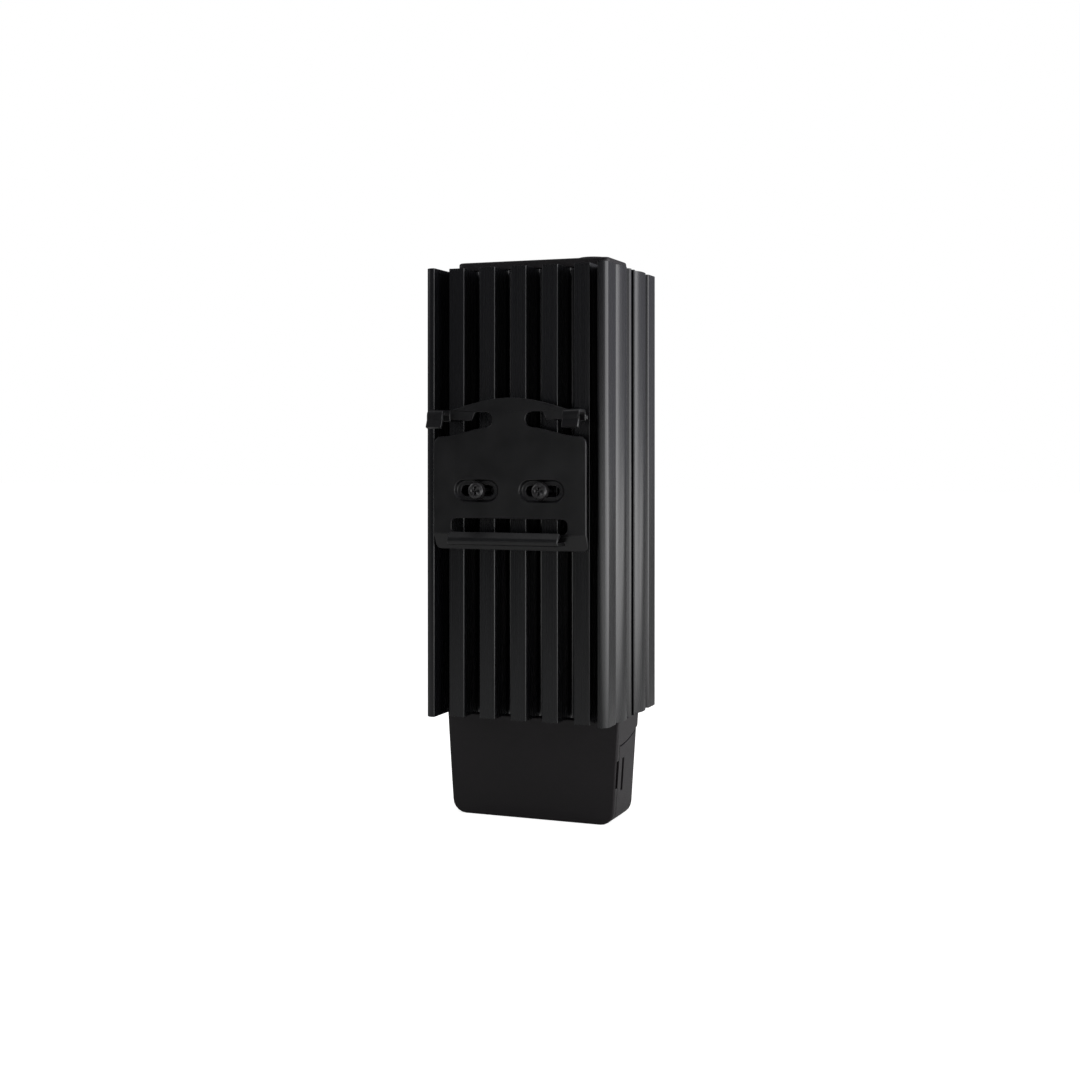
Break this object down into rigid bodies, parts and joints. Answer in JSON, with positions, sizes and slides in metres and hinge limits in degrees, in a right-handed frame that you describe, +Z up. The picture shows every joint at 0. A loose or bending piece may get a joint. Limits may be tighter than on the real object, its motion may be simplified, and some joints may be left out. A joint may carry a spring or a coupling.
{
  "type": "enclosure heater",
  "caption": "Ribbed aluminium enclosure heater with a spring steel rail clip on its back, a slim top cover and a terminal housing below.",
  "frame": {"origin": "on the clip's flat face, midway between its sides, at the height of the mounting rail's centre line", "axes": "+Z up along the ribs, -Y towards the mounting rail, +X to the right for someone who faces the clip"},
  "size_m": [0.06, 0.0613, 0.1766],
  "materials": {
    "anodised_aluminium": "black anodised extrusion, satin",
    "spring_steel": "blackened spring steel, satin",
    "screw_steel": "blackened steel, semi-gloss",
    "zinc_steel": "zinc plated, satin",
    "black_plastic": "fine moulded texture, matt",
    "terminal_plastic": "smooth moulded",
    "rubber": "matt",
    "brass": "turned",
    "bare_aluminium": "rolled sheet",
    "ceramic": "sintered ceramic, matt",
    "insulating_film": "amber film",
    "brown_insulation": "smooth",
    "blue_insulation": "smooth",
    "green_insulation": "smooth"
  },
  "bodies": {
    "root": {"heatsink_body": "anodised_aluminium", "din_clip": "spring_steel", "clip_screw_left": "screw_steel", "clip_screw_right": "screw_steel", "top_cover": "black_plastic", "top_cover_screw": "screw_steel", "housing_base": "black_plastic", "housing_cover": "black_plastic", "cable_grommet": "rubber", "housing_screw_left": "zinc_steel", "housing_screw_right": "zinc_steel", "cable_clamp": "black_plastic", "clamp_screw_left": "zinc_steel", "clamp_screw_right": "zinc_steel", "terminal_block": "terminal_plastic", "terminal_bush_1": "brass", "terminal_bush_2": "brass", "terminal_bush_3": "brass", "terminal_screw_1": "zinc_steel", "terminal_screw_2": "zinc_steel", "terminal_screw_3": "zinc_steel", "terminal_screw_4": "zinc_steel", "terminal_screw_5": "zinc_steel", "terminal_screw_6": "zinc_steel", "ptc_stone_1": "ceramic", "ptc_stone_2": "ceramic", "ptc_stone_3": "ceramic", "contact_plate_rear": "bare_aluminium", "contact_plate_front": "bare_aluminium", "insulating_sleeve": "insulating_film", "pressure_spring": "spring_steel", "earth_lug": "zinc_steel", "line_lead": "brown_insulation", "neutral_lead": "blue_insulation", "earth_lead": "green_insulation"}
  },
  "joints": []
}
